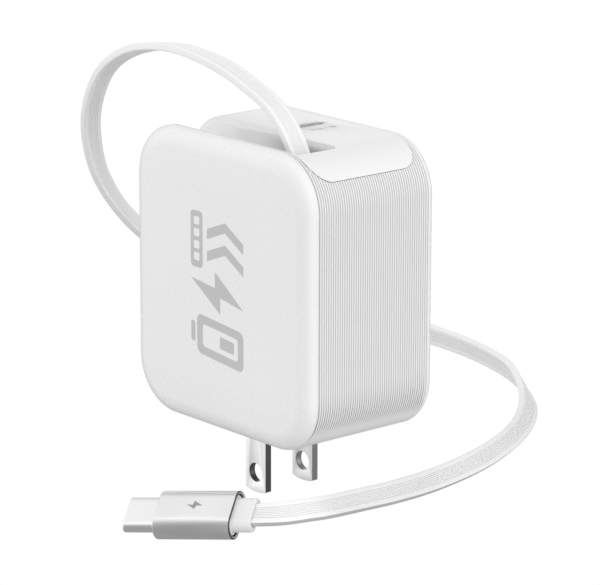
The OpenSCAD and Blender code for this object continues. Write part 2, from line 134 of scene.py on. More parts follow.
M = {
    "shell": surface("shell_white", (0.88, 0.88, 0.88), 0.28, var=0.006, rough_var=0.03, grain=1500, bump=0.01, depth=0.000004, coat=0.15, mottle=25),
    "band": surface("band_white", (0.89, 0.89, 0.89), 0.34, var=0.008, rough_var=0.06, grain=1800, bump=0.01, depth=0.000005, mottle=30),
    "cap": surface("cap_white", (0.91, 0.91, 0.91), 0.26, var=0.006, rough_var=0.02, grain=1500, bump=0.01, depth=0.000004, coat=0.25, mottle=25),
    "liner": surface("liner_white", (0.90, 0.90, 0.90), 0.45, var=0.01, rough_var=0.05, grain=1800, bump=0.03),
    "guide": surface("guide_white", (0.80, 0.80, 0.80), 0.48, var=0.012, rough_var=0.05, grain=1700, bump=0.03),
    "base": surface("base_white", (0.83, 0.83, 0.83), 0.5, var=0.012, rough_var=0.08, grain=1400, bump=0.05, depth=0.00003),
    "reel": surface("reel_plastic", (0.66, 0.67, 0.68), 0.45, var=0.02, rough_var=0.06, grain=1200, bump=0.04),
    "lead": surface("lead_jacket", (0.93, 0.93, 0.93), 0.46, var=0.01, rough_var=0.06, grain=1500, bump=0.04, depth=0.00002, mottle=45),
    # painted shade: darker copy of the lead jacket for the groove bottoms
    "groove": surface("lead_groove", (0.67, 0.67, 0.67), 0.55, var=0.01, rough_var=0.06, grain=1500, bump=0.04, depth=0.00002, mottle=45),
    # painted shade: dark copy of the lead jacket for its down-facing side near the floor
    "under": surface("lead_under", (0.60, 0.60, 0.60), 0.5, var=0.01, rough_var=0.06, grain=1500, bump=0.04, depth=0.00002, mottle=45),
    "collar": surface("collar_white", (0.83, 0.83, 0.83), 0.4, var=0.008, rough_var=0.05, grain=1600, bump=0.03, depth=0.000015),
    "mark": surface("grey_print", (0.56, 0.56, 0.56), 0.42, var=0.02, rough_var=0.06, grain=2600, bump=0.02, depth=0.000006, mottle=40),
    "grip_ink": surface("grip_print", (0.30, 0.30, 0.30), 0.45, var=0.03, rough_var=0.06, grain=2600, bump=0.02, depth=0.000006),
    "dark_mark": surface("dark_print", (0.16, 0.16, 0.16), 0.45, var=0.03, rough_var=0.06, grain=2600, bump=0.02, depth=0.000006),
    "grip": surface("grip_brushed", (0.78, 0.78, 0.78), 0.20, metallic=1.0, var=0.02, rough_var=0.04, grain=4200, bump=0.02,
                    depth=0.000005, stretch=(0.22, 1.0, 1.0), mottle=120),
    # painted shade: near-black inside of the grip sleeve, standing in for the shadowed gap
    "grip_in": surface("grip_inside", (0.05, 0.05, 0.05), 0.5, metallic=0.6, var=0.1, rough_var=0.1, grain=1500, bump=0.03),
    # painted shade: the rear blade is a darker copy of the same nickel
    "blade_b": surface("blade_nickel_rear", (0.64, 0.64, 0.64), 0.34, metallic=1.0, var=0.02, rough_var=0.06, grain=1500, bump=0.03, depth=0.00001, stretch=(1, 1, 0.08)),
    # painted shade: dark copy of the grip metal for the rim's rounding, standing in for a shadow line
    "grip_rim_shade": surface("grip_rim_painted_shade", (0.10, 0.10, 0.10), 0.3, metallic=1.0, var=0.05, rough_var=0.06, grain=1500, bump=0.02),
    # painted shade: darker copies of the nickel for the blades' thickness sides and bores, front (edge) and rear
    # (edge_b)
    "edge": surface("blade_edge", (0.15, 0.15, 0.15), 0.3, metallic=1.0, var=0.06, rough_var=0.08, grain=1500, bump=0.04, stretch=(1, 1, 0.1)),
    "edge_b": surface("blade_edge_rear", (0.38, 0.38, 0.38), 0.3, metallic=1.0, var=0.06, rough_var=0.08, grain=1500, bump=0.04, stretch=(1, 1, 0.1)),
    "nose": surface("nose_steel", (0.84, 0.84, 0.84), 0.16, metallic=1.0, var=0.01, rough_var=0.05, grain=1600, bump=0.02, depth=0.00001, stretch=(1, 0.1, 1)),
    "blade": surface("blade_nickel", (0.78, 0.78, 0.78), 0.34, metallic=1.0, var=0.02, rough_var=0.06, grain=1500, bump=0.03, depth=0.00001, stretch=(1, 1, 0.08)),
    "steel": surface("turned_steel", (0.58, 0.585, 0.60), 0.3, metallic=1.0, var=0.03, rough_var=0.1, grain=1600, bump=0.05, stretch=(1, 0.1, 1)),
    "spring": surface("spring_strip", (0.36, 0.37, 0.39), 0.32, metallic=1.0, var=0.04, rough_var=0.1, grain=1400, bump=0.05, tint=(0.3, 0.32, 0.38)),
    "brass": surface("contact_brass", (0.78, 0.60, 0.28), 0.28, metallic=1.0, var=0.04, rough_var=0.1, grain=1500, bump=0.04),
    "tongue": surface("socket_tongue", (0.46, 0.46, 0.46), 0.45, var=0.06, rough_var=0.08, grain=1300, bump=0.04),
    "port": surface("port_steel", (0.84, 0.84, 0.84), 0.42, metallic=0.7, var=0.02, rough_var=0.08, grain=1800, bump=0.03),
    "board": surface("solder_mask", (0.035, 0.17, 0.08), 0.35, var=0.12, rough_var=0.08, grain=900, bump=0.06, mottle=350),
    "black": surface("black_moulding", (0.018, 0.018, 0.02), 0.42, var=0.15, rough_var=0.1, grain=1300, bump=0.06),
    "ferrite": surface("sintered_ferrite", (0.045, 0.045, 0.05), 0.62, var=0.2, rough_var=0.12, grain=2200, bump=0.12),
    "tape": surface("winding_tape", (0.72, 0.52, 0.08), 0.4, var=0.05, rough_var=0.1, grain=700, bump=0.05, stretch=(1, 1, 6)),
    "sleeve": surface("can_sleeve", (0.03, 0.035, 0.055), 0.28, var=0.1, rough_var=0.06, grain=900, bump=0.03),
    "wire": surface("enamelled_wire", (0.32, 0.11, 0.035), 0.3, var=0.2, rough_var=0.1, grain=2600, bump=0.2, depth=0.0002),
    "film": surface("film_box", (0.62, 0.46, 0.06), 0.35, var=0.05, rough_var=0.06, grain=1200, bump=0.03),
    "fuse": surface("fuse_sleeve", (0.30, 0.07, 0.05), 0.45, var=0.08, rough_var=0.08, grain=1300, bump=0.05),
    "heat": surface("heat_aluminium", (0.70, 0.705, 0.71), 0.38, metallic=1.0, var=0.03, rough_var=0.1, grain=1500, bump=0.05, stretch=(0.1, 1, 1)),
    "sheet": surface("pressed_board", (0.68, 0.62, 0.48), 0.7, var=0.06, rough_var=0.1, grain=900, bump=0.1),
}

def scaled_colour(mat, build):
    """Multiplies the base colour by the factor that build(node tree, object coordinates) returns."""
    nt = mat.node_tree
    b = next(n for n in nt.nodes if n.type == "BSDF_PRINCIPLED")
    src = b.inputs["Base Color"].links[0].from_socket
    tc = nd(nt, "ShaderNodeTexCoord", -1500, 700)
    sep = nd(nt, "ShaderNodeSeparateXYZ", -1300, 700)
    nt.links.new(tc.outputs["Object"], sep.inputs[0])
    sc = nd(nt, "ShaderNodeVectorMath", 350, 500)
    sc.operation = "SCALE"
    nt.links.new(src, sc.inputs[0])
    nt.links.new(build(nt, sep), sc.inputs["Scale"])
    nt.links.new(sc.outputs[0], b.inputs["Base Color"])


def ramp01(nt, sock, a, b, lo=0.0, hi=1.0):
    """Smooth step of sock from a to b (metres), giving lo to hi."""
    m = nd(nt, "ShaderNodeMapRange", -900, 700)
    m.interpolation_type = "SMOOTHSTEP"
    for k, v in zip(("From Min", "From Max", "To Min", "To Max"), (a, b, lo, hi)):
        m.inputs[k].default_value = v
    nt.links.new(sock, m.inputs["Value"])
    return m.outputs["Result"]


def calc(nt, op, a, b=None, c=None):
    m = nd(nt, "ShaderNodeMath", -700, 700)
    m.operation = op
    for k, v in enumerate((a, b, c)):
        if v is None:
            continue
        if isinstance(v, (int, float)):
            m.inputs[k].default_value = v
        else:
            nt.links.new(v, m.inputs[k])
    return m.outputs[0]


RIBS, RIB_Y1, RIB_Y2 = 48, -15.9, 12.7


def rib_valley_painted_shade(nt, sep):
    """Painted shade: the valleys of the ribs are darker, more so towards the bottom, standing in for the shade in the
    narrow grooves.
    """
    pitch = (RIB_Y2 - RIB_Y1) / RIBS * MM
    ph = calc(nt, "MULTIPLY_ADD", sep.outputs["Y"], 2 * math.pi / pitch, -2 * math.pi * RIB_Y1 * MM / pitch)
    v = calc(nt, "MULTIPLY_ADD", calc(nt, "COSINE", ph), 0.5, 0.5)
    v = calc(nt, "POWER", v, 1.6)
    v = calc(nt, "MULTIPLY", v, ramp01(nt, sep.outputs["Z"], 3.2 * MM, 6.4 * MM))
    v = calc(nt, "MULTIPLY", v, ramp01(nt, sep.outputs["Z"], 14 * MM, 7 * MM, 1.0, 1.55))
    return calc(nt, "MULTIPLY_ADD", v, -0.40, 1.0)


def wall_painted_shade(nt, sep):
    """Painted shade: the channel's back wall goes darker towards the closed end, near the lead's exit."""
    inside = calc(nt, "MULTIPLY", ramp01(nt, sep.outputs["Z"], 60.2 * MM, 58.6 * MM), ramp01(nt, sep.outputs["Y"], -4.30 * MM, -4.38 * MM))
    t = calc(nt, "MULTIPLY", inside, ramp01(nt, sep.outputs["X"], -3 * MM, 13 * MM))
    t = calc(nt, "MULTIPLY", t, ramp01(nt, sep.outputs["X"], 21.0 * MM, 18.0 * MM))
    return calc(nt, "MULTIPLY_ADD", t, -0.44, 1.0)


# painted shade: darker rib valleys on the band
scaled_colour(M["band"], rib_valley_painted_shade)
# painted shade: the channel's back wall darker towards its closed end
scaled_colour(M["cap"], wall_painted_shade)

CAD_LOOK = {
    "channel_liner": "liner", "cable_guide": "guide", "reel_tray": "reel", "tray_screw_a": "steel", "tray_screw_b": "steel",
    "tray_screw_c": "steel", "tray_screw_d": "steel", "reel_axle": "steel", "reel_retainer": "steel", "spool_body": "reel",
    "spool_cover": "reel", "cable_wound": "lead", "spring_cup": "reel", "spiral_spring": "spring", "slip_ring_board": "board",
    "contact_brush_a": "brass", "contact_brush_b": "brass", "latch_pawl": "reel", "latch_pin": "steel", "latch_spring": "spring",
    "blade_base": "base", "blade_carrier": "base", "blade_pin": "steel", "blade_detent": "spring", "contact_leaf_front": "brass",
    "contact_leaf_rear": "brass", "contact_block": "black", "main_board": "board", "transformer_core": "ferrite",
    "transformer_winding": "tape", "bulk_capacitor_a": "sleeve", "bulk_capacitor_b": "sleeve", "output_capacitor": "sleeve",
    "line_choke": "wire", "line_capacitor": "film", "line_fuse": "fuse", "bridge_rectifier": "black", "power_switch": "black",
    "heat_spreader": "heat", "insulation_sheet": "sheet", "port_shell": "port", "port_tongue": "tongue", "port_board": "board",
    "plug_overmould": "collar", "plug_insert": "black", "plug_board": "board",
}
for name, look in CAD_LOOK.items():
    ob = NODES[name]
    ob.data.materials.clear()
    ob.data.materials.append(M[look])


# ------------------------------------------------------------------ mesh helpers
def finish_mesh(me, angle=35.0, fix=True):
    if fix:
        bm = bmesh.new()
        bm.from_mesh(me)
        bmesh.ops.recalc_face_normals(bm, faces=bm.faces)
        bm.to_mesh(me)
        bm.free()
    me.shade_smooth()
    me.set_sharp_from_angle(angle=math.radians(angle))
    me.update()


def mesh_object(name, verts, faces, mat, body="root", replaces=(), angle=35.0, world=None, link=True):
    """verts in millimetres."""
    me = bpy.data.meshes.new(name)
    me.from_pydata([tuple(float(c) * MM for c in v) for v in verts], [], [tuple(int(i) for i in f) for f in faces])
    me.materials.append(M[mat])
    finish_mesh(me, angle)
    ob = bpy.data.objects.new(name, me)
    SC.collection.objects.link(ob)
    if world is not None:
        ob.matrix_world = world
    if link:
        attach(ob, body)
        if replaces:
            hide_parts(*replaces)
    return ob


def rings_mesh(rings, close_first=True, close_last=True, closed_tube=False):
    """rings: list of (n,3) arrays with the same n. Returns verts, faces."""
    n = len(rings[0])
    v = np.concatenate(rings)
    f = []
    last = len(rings) if closed_tube else len(rings) - 1
    for j in range(last):
        a, b = j * n, ((j + 1) % len(rings)) * n
        for k in range(n):
            k2 = (k + 1) % n
            f.append((a + k, a + k2, b + k2, b + k))
    if not closed_tube:
        if close_first:
            f.append(tuple(range(n - 1, -1, -1)))
        if close_last:
            f.append(tuple((len(rings) - 1) * n + k for k in range(n)))
    return v, f


def boolean(ob, cutter, op="DIFFERENCE"):
    mod = ob.modifiers.new("cut", "BOOLEAN")
    mod.operation = op
    mod.object = cutter
    mod.solver = "EXACT"
    mat = ob.data.materials[0] if len(ob.data.materials) else None
    bpy.context.view_layer.update()
    dg = bpy.context.evaluated_depsgraph_get()
    me = bpy.data.meshes.new_from_object(ob.evaluated_get(dg))
    ob.modifiers.clear()
    old = ob.data
    ob.data = me
    me.materials.clear()
    if mat is not None:
        me.materials.append(mat)
    me.polygons.foreach_set("material_index", [0] * len(me.polygons))
    bpy.data.meshes.remove(old)
    cm = cutter.data
    bpy.data.objects.remove(cutter)
    bpy.data.meshes.remove(cm)


def bevel_where(ob, test, width, segments=3, angle=25.0):
    """Rounds the sharp edges whose two ends both pass test(co in mm)."""
    bm = bmesh.new()
    bm.from_mesh(ob.data)
    bmesh.ops.remove_doubles(bm, verts=bm.verts, dist=2e-6)
    bmesh.ops.dissolve_degenerate(bm, edges=bm.edges, dist=2e-6)
    pick = []
    for ed in bm.edges:
        if len(ed.link_faces) != 2 or ed.calc_face_angle(0) < math.radians(angle):
            continue
        if all(test(v.co / MM) for v in ed.verts):
            pick.append(ed)
    if pick:
        bmesh.ops.bevel(bm, geom=pick, offset=width * MM, offset_type="OFFSET", segments=segments, profile=0.5,
                        affect="EDGES", clamp_overlap=True)
    bm.to_mesh(ob.data)
    bm.free()
    return len(pick)


def prism_cutter(name, pts2, axis, a, b):
    """Closed prism of the outline pts2 along axis, from a to b. axis 'x': pts are (y,z); 'y': (x,z); 'z': (x,y)."""
    pts2 = np.array(pts2, float)
    n = len(pts2)
    v = []
    for t in (a, b):
        for p, q in pts2:
            v.append({"x": (t, p, q), "y": (p, t, q), "z": (p, q, t)}[axis])
    f = [tuple(range(n - 1, -1, -1)), tuple(range(n, 2 * n))]
    for k in range(n):
        f.append((k, (k + 1) % n, n + (k + 1) % n, n + k))
    me = bpy.data.meshes.new(name)
    me.from_pydata([tuple(c * MM for c in p) for p in v], [], f)
    finish_mesh(me)
    ob = bpy.data.objects.new(name, me)
    SC.collection.objects.link(ob)
    return ob


# ------------------------------------------------------------------ housing outline, mm
BX, BW, BH, BR = 2.6, 55.7, 61.0, 11.3
ZM = BH / 2
XL, XR = BX - BW / 2, BX + BW / 2
Y1, Y2, Y3, Y0 = -15.9, 12.7, 15.1, -19.3
WALL = 1.8
CH_Z, CH_Y0, CH_Y1, CH_END = 52.2, -15.4, -4.4, 22.3
TY1 = -3.3


def outline(n_arc, n_side=1, n_flat=1):
    """Points (x, z) and outward normals once round the housing, from the right-hand side's lower end."""
    pts, nrm = [], []
    w, h = BW / 2 - BR, BH / 2 - BR
    for q in range(4):
        sx, sz = ((1, 1), (-1, 1), (-1, -1), (1, -1))[q]
        for k in range(n_arc + 1):
            a = math.radians(q * 90 + 90.0 * k / n_arc)
            c, s = math.cos(a), math.sin(a)
            pts.append((BX + sx * w + BR * c, ZM + sz * h + BR * s))
            nrm.append((c, s))
        nx_sx, nx_sz = ((1, 1), (-1, 1), (-1, -1), (1, -1))[(q + 1) % 4]
        a = math.radians(q * 90 + 90.0)
        c, s = math.cos(a), math.sin(a)
        p0 = np.array(pts[-1])
        p1 = np.array((BX + nx_sx * w + BR * c, ZM + nx_sz * h + BR * s))
        m = n_flat if q in (0, 2) else n_side
        for k in range(1, m):
            pts.append(tuple(p0 + (p1 - p0) * k / m))
            nrm.append((c, s))
    return np.array(pts), np.array(nrm)


def ring_at(P, N, y, inset):
    inset = np.asarray(inset, float)
    q = P - N * (inset[:, None] if inset.ndim else inset)
    return np.stack([q[:, 0], np.full(len(q), float(y)), q[:, 1]], axis=1)


# ------------------------------------------------------------------ lead (flat ribbon)
LEAD = [
    ((16.9, -10.1, 31), (0, 1, 0)), ((17.8, -10.1, 42), (0, 1, 0)), ((18.6, -10.1, 51.5), (0, 1, 0)),
    ((16.8, -10.1, 60), (0, 1, 0)), ((10.6, -10, 66.8), (0, 1, 0)), ((2, -10, 70.8), (0, 1, 0)),
    ((-8.5, -10, 73.8), (0, 1, 0)), ((-22, -10, 75), (0, 1, -0.1)), ((-36, -9.5, 72.6), (0, 1, -0.15)),
    ((-48, -8, 66.6), (0, 1, 0)), ((-56.25, -5.71, 57.6), (0, 1, 0.15)), ((-61.36, -2.33, 48.5), (-0.06, 0.9, 0.43)),
    ((-63.95, 2.46, 38.3), (-0.41, 0.76, 0.51)), ((-63.44, 9.74, 28.2), (-0.63, 0.62, 0.48)), ((-60.86, 20.57, 19), (-0.39, 0.57, 0.72)),
    ((-61.15, 33.33, 11), (-0.1, 0.5, 0.9)), ((-64, 46.5, 3), (0, 0.4, 1)), ((-68.8, 59, -4.8), (0, 0.3, 1)),
    ((-73.2, 69, -9.4), (0, 0.15, 1)), ((-76.6, 78, -12.5), (0, 0, 1)), ((-77.4, 86.4, -13.4), (0, 0, 1)),
    ((-73.9, 93.2, -13.4), (0, 0, 1)), ((-65.5, 97.3, -13.4), (0, -0.1, 1)), ((-53, 97.2, -13.4), (-0.01, -0.18, 0.98)),
    ((-40.3, 95.2, -13.4), (-0.06, -0.2, 0.98)), ((-26.5, 90.8, -13.4), (-0.12, -0.23, 0.96)), ((-13.78, 83.26, -13.4), (-0.29, -0.43, 0.86)),
    ((-2.91, 74.34, -13.5), (-0.48, -0.5, 0.72)), ((6.33, 63.62, -13.61), (-0.61, -0.44, 0.66)), ((14, 51, -13.5), (-0.63, -0.3, 0.72)),
    ((19.81, 36.71, -13.5), (-0.65, -0.18, 0.74)), ((23.65, 21.2, -13.36), (-0.7, -0.1, 0.71)), ((27.33, 6.96, -12.07), (-0.71, -0.14, 0.68)),
    ((30.42, -5.22, -10.43), (-0.72, -0.16, 0.67)), ((33.46, -16.28, -8.75), (-0.72, -0.21, 0.65)), ((33.36, -21.34, -8.3), (-0.74, 0.13, 0.65)),
    ((31.13, -26.48, -8.55), (-0.6, 0.45, 0.65)), ((26.64, -30.14, -9.26), (-0.45, 0.69, 0.57)),
]
LEAD_W, LEAD_T = 4.8, 1.6


def catmull(a, i, t):
    def g(j):
        if j < 0:
            return 2 * a[0] - a[1]
        if j >= len(a):
            return 2 * a[-1] - a[-2]
        return a[j]
    p0, p1, p2, p3 = g(i - 1), g(i), g(i + 1), g(i + 2)
    c = 0.5 * (2 * p1 + (p2 - p0) * t + (2 * p0 - 5 * p1 + 4 * p2 - p3) * t * t + (3 * p1 - p0 - 3 * p2 + p3) * t ** 3)
    d = 0.5 * ((p2 - p0) + 2 * (2 * p0 - 5 * p1 + 4 * p2 - p3) * t + 3 * (3 * p1 - p0 - 3 * p2 + p3) * t * t)
    return c, d


def lead_frames(step=1.0):
    P = np.array([k[0] for k in LEAD], float)
    Wd = np.array([k[1] for k in LEAD], float)
    out = []
    for i in range(len(P) - 1):
        n = max(2, int(round(np.linalg.norm(P[i + 1] - P[i]) / step)))
        for k in range(n):
            t = k / n
            c, d = catmull(P, i, t)
            w, _ = catmull(Wd, i, t)
            out.append((c, d, w))
    c, d = catmull(P, len(P) - 2, 1.0)
    w, _ = catmull(Wd, len(P) - 2, 1.0)
    out.append((c, d, w))
    fr = []
    for c, d, w in out:
        d = d / np.linalg.norm(d)
        w = w - d * (w @ d)
        w = w / np.linalg.norm(w)
        fr.append((c, d, w, np.cross(d, w)))
    return fr


def lead_section():
    """Closed outline (a along the width, b along the thickness): smooth margins, fine grooves in the middle."""
    a0, b0, r = LEAD_W / 2, LEAD_T / 2, 0.30
    grooves, pitch, deep = 7, 0.40, 0.12
    half = grooves * pitch / 2
    top = [(a0 - r, b0), (half + 0.25, b0)]
    n = grooves * 6
    for k in range(n + 1):
        a = half - pitch * grooves * k / n
        ph = (k % 6) / 6.0
        top.append((a, b0 - deep * (math.sin(math.pi * ph) ** 2)))
    top += [(-half - 0.25, b0), (-a0 + r, b0)]
    def arc(cx, cy, s, e):
        return [(cx + r * math.cos(math.radians(s + (e - s) * k / 5)), cy + r * math.sin(math.radians(s + (e - s) * k / 5))) for k in range(1, 5)]
    pts = list(top)
    pts += arc(-a0 + r, b0 - r, 90, 180) + [(-a0, b0 - r), (-a0, -b0 + r)] + arc(-a0 + r, -b0 + r, 180, 270)
    pts += [(-x, -y) for x, y in top]
    pts += arc(a0 - r, -b0 + r, 270, 360) + [(a0, -b0 + r), (a0, b0 - r)] + arc(a0 - r, b0 - r, 0, 90)
    return pts


def make_lead():
    fr = lead_frames(1.0)
    sec = lead_section()
    rings = []
    for c, d, w, n in fr:
        rings.append(np.array([c + w * a + n * b for a, b in sec]))
    v, f = rings_mesh(rings)
    ob = mesh_object("flat_lead", v, f, "lead", replaces=("cable_free",), angle=50)
    ob.data.materials.append(M["groove"])
    ob.data.materials.append(M["under"])
    n, half = len(sec), len(sec) // 2
    for poly in ob.data.polygons:
        if len(poly.vertices) == 4:
            k = min(i % n for i in poly.vertices) % half
            # painted shade: the groove bottoms take the darker groove copy of the jacket
            if 2 <= k < 44 and (k - 2) % 6 in (2, 3):
                poly.material_index = 1
            # painted shade: the down-facing narrow side near the floor takes the dark under copy
            low = poly.center.z < -3 * MM and poly.normal.z < -0.2
            if low and 47 <= min(i % n for i in poly.vertices) < 56:
                poly.material_index = 2
    path = [tuple(c * MM) for c, d, w, n in fr]
    length = sum(np.linalg.norm(np.array(path[i + 1]) - np.array(path[i])) for i in range(len(path) - 1))
    return ob, path, float(length)


lead, lead_path, lead_length = make_lead()

# ------------------------------------------------------------------ plug, in its own axes: X along the nose
PLUG = (Matrix.Translation(Vector((27.25, -29.81, -9.18)) * MM)
        @ Matrix.Rotation(math.radians(-151.6), 4, "Z") @ Matrix.Rotation(math.radians(6.8), 4, "Y") @ Matrix.Rotation(math.radians(-35), 4, "X"))


def stadium(x, w, t, inset=0.0, n=20, m=8):
    """Ring of a flat oval, w wide in Y and t thick in Z, drawn in by inset."""
    r = t / 2 - inset
    h = (w - t) / 2
    pts = []
    for k in range(n + 1):
        a = math.radians(-90 + 180.0 * k / n)
        pts.append((x, h + r * math.cos(a), r * math.sin(a)))
    for k in range(1, m):
        pts.append((x, h - 2 * h * k / m, r))
    for k in range(n + 1):
        a = math.radians(90 + 180.0 * k / n)
        pts.append((x, -h + r * math.cos(a), r * math.sin(a)))
    for k in range(1, m):
        pts.append((x, -h + 2 * h * k / m, -r))
    return np.array(pts)


def stadium_piece(name, rows, mat, replaces):
    v, f = rings_mesh([stadium(*r) for r in rows])
    return mesh_object(name, v, f, mat, replaces=replaces, angle=30, world=PLUG)


collar = stadium_piece("plug_collar_shape", [
    (0.9, 5.5, 2.2, 0.0), (0.16, 5.5, 2.2, 0.0), (0.05, 5.5, 2.2, -0.04), (0.0, 5.5, 2.2, -0.12), (0.0, 7.7, 3.5, 0.24), (0.03, 7.7, 3.5, 0.12),
    (0.12, 7.7, 3.5, 0.03), (0.28, 7.7, 3.5, 0.0), (3.90, 7.7, 3.5, 0.0), (4.02, 7.7, 3.5, -0.03), (4.10, 7.7, 3.5, -0.09), (4.12, 7.7, 3.5, -0.12),
    (4.2, 7.7, 3.5, -0.12)], "collar", ("plug_collar",))
NRING = len(stadium(0, 8, 3))
grip = stadium_piece("plug_grip_shape", [
    (6.0, 10.8, 5.5, 0.62), (3.98, 10.8, 5.5, 0.62), (3.88, 10.8, 5.5, 0.55), (3.82, 10.8, 5.5, 0.46), (3.8, 10.8, 5.5, 0.36), (3.8, 10.8, 5.5, 0.24),
    (3.83, 10.8, 5.5, 0.10), (3.92, 10.8, 5.5, 0.02), (4.05, 10.8, 5.5, 0.0), (20.2, 10.8, 5.5, 0.0), (20.42, 10.8, 5.5, 0.05), (20.55, 10.8, 5.5, 0.18),
    (20.6, 10.8, 5.5, 0.40)], "grip", ("plug_grip",))
# painted shade: the sleeve's inner rows take the near-black inside copy
grip.data.materials.append(M["grip_in"])
for poly in grip.data.polygons:
    if max(grip.data.vertices[i].index for i in poly.vertices) < 2 * NRING:
        poly.material_index = 1
# painted shade: the rim rows 5 to 7 take the dark rim copy of the grip metal
grip.data.materials.append(M["grip_rim_shade"])
for poly in grip.data.polygons:
    rows = [i // NRING for i in poly.vertices]
    if len(rows) == 4 and min(rows) in (5, 6, 7):
        poly.material_index = 2
nose = stadium_piece("plug_nose_shape", [
    (13.0, 8.25, 2.4, 0.0), (27.30, 8.25, 2.4, 0.0), (27.47, 8.25, 2.4, 0.03), (27.59, 8.25, 2.4, 0.10), (27.65, 8.25, 2.4, 0.2),
    (27.61, 8.25, 2.4, 0.27), (27.45, 8.25, 2.4, 0.3), (20.8, 8.25, 2.4, 0.3)],
    "nose", ("plug_shell",))


def plate(name, polys, to3d, thick_dir, thick, mat, body="root", world=None):
    """Thin closed plates: each polygon in 2-D, to3d maps (u, v) to mm, thick_dir is the raise. Polygons that share an edge make one plate."""
    verts, faces, at, shared = [], [], {}, {}
    td = np.array(thick_dir, float) * thick

    def vert(u, v):
        key = (round(u, 4), round(v, 4))
        if key not in at:
            at[key] = len(verts)
            low = np.array(to3d(u, v), float)
            verts.extend([low, low + td])
        return at[key]

    loops = [[vert(u, v) for u, v in poly] for poly in polys]
    for loop in loops:
        for k, a in enumerate(loop):
            e = frozenset((a, loop[(k + 1) % len(loop)]))
            shared[e] = shared.get(e, 0) + 1
    for loop in loops:
        faces.append(tuple(loop))
        faces.append(tuple(a + 1 for a in reversed(loop)))
        for k, a in enumerate(loop):
            b = loop[(k + 1) % len(loop)]
            if shared[frozenset((a, b))] == 1:
                faces.append((a, a + 1, b + 1, b))
    return mesh_object(name, verts, faces, mat, body=body, world=world)


grip_mark = plate("grip_bolt_mark", [[(14.11, -0.64), (12.71, -0.40), (12.50, -1.50), (10.56, -0.26), (11.82, -0.30), (12.20, 0.565)]],
                  lambda u, v: (u, v, 2.74), (0, 0, 1), 0.025, "grip_ink", world=PLUG)


# ------------------------------------------------------------------ front and rear covers
def cover(name, ys, depth, edge, crown, sign, mat, node):
    """Bulging cover: seam at ys, sign is the way out (-1 front, 1 rear)."""
    P, N = outline(26, 8, 8)
    rows = []
    for d, i in ((0.10, 0.50), (0.11, 0.34), (0.16, 0.15), (0.25, 0.04), (0.36, 0.0)):
        rows.append((d, i))
    steps = 16
    body_d = depth - 0.36 - crown
    for k in range(1, steps + 1):
        a = math.radians(90.0 * k / steps)
        rows.append((0.36 + body_d * math.sin(a), edge * (1 - math.cos(a))))
    end = 10.9
    for k in range(1, 7):
        t = k / 6
        rows.append((depth - crown * (1 - t) ** 2, edge + (end - edge) * t))
    rings = [ring_at(P, N, ys + sign * d, i) for d, i in rows]
    inner = [(depth - WALL, 9.5), (depth - WALL, 3.4), (depth * 0.35, 2.3), (0.08, 2.2)]
    inner_rings = [ring_at(P, N, ys + sign * d, i) for d, i in inner]
    all_rings = rings[::-1] + inner_rings[::-1]
    n = len(P)
    v = np.concatenate(all_rings)
    f = []
    for j in range(len(all_rings) - 1):
        a, b = j * n, (j + 1) * n
        for k in range(n):
            f.append((a + k, a + (k + 1) % n, b + (k + 1) % n, b + k))
    f.append(tuple(range(n)))
    last = (len(all_rings) - 1) * n
    f.append(tuple(last + k for k in range(n)))
    return mesh_object(name, v, f, mat, replaces=(node,), angle=40)


front = cover("front_cover_shape", Y1, 3.4, 4.3, 0.18, -1, "shell", "front_cover")
rear = cover("rear_cover_shape", Y2, 2.4, 3.4, 0.12, 1, "shell", "rear_cover")


# ------------------------------------------------------------------ ribbed band
def make_band():
    P, N = outline(22, 6, 6)
    z = P[:, 1]
    t = np.clip((z - 4.2) / 4.2, 0, 1)
    fade = t * t * (3 - 2 * t)
    ribs, amp = RIBS, 0.25
    pitch = (Y2 - Y1) / ribs
    prof = [(0.0, 1.0), (0.10, 0.62), (0.24, 0.26), (0.42, 0.03), (0.58, 0.03), (0.76, 0.26), (0.90, 0.62)]
    rings = []
    for k in range(ribs):
        for p, d in prof:
            if k == 0 and p == 0.0:
                rings.append(ring_at(P, N, Y1, 0.30))
                rings.append(ring_at(P, N, Y1 + 0.05, 0.09 + amp * 0.6 * fade))
                continue
            rings.append(ring_at(P, N, Y1 + pitch * (k + p), amp * d * fade))
    rings.append(ring_at(P, N, Y2 - 0.05, 0.09 + amp * 0.6 * fade))
    rings.append(ring_at(P, N, Y2, 0.22))
    rings.append(ring_at(P, N, Y2, WALL))
    rings.append(ring_at(P, N, Y1, WALL))
    v, f = rings_mesh(rings, closed_tube=True)
    return mesh_object("ribbed_band", v, f, "band", replaces=("mid_frame",), angle=40)


def cap_zone_pts(g, n=20):
    ya, yb, za, r = -15.3 - g, 12.1 + g, 55.8 - g, 4.6 + g
    pts = [(ya, 75.0)]
    for k in range(n + 1):
        a = math.radians(180 + 90.0 * k / n)
        pts.append((ya + r + r * math.cos(a), za + r + r * math.sin(a)))
    for k in range(n + 1):
        a = math.radians(270 + 90.0 * k / n)
        pts.append((yb - r + r * math.cos(a), za + r + r * math.sin(a)))
    pts.append((yb, 75.0))
    return pts


def channel_pts(x0=-30.0, y0=CH_Y0, y1=CH_Y1, xe=CH_END, r=1.2, n=8):
    pts = [(x0, y0)]
    for k in range(n + 1):
        a = math.radians(-90 + 90.0 * k / n)
        pts.append((xe - r + r * math.cos(a), y0 + r + r * math.sin(a)))
    for k in range(n + 1):
        a = math.radians(90.0 * k / n)
        pts.append((xe - r + r * math.cos(a), y1 - r + r * math.sin(a)))
    pts.append((x0, y1))
    return pts


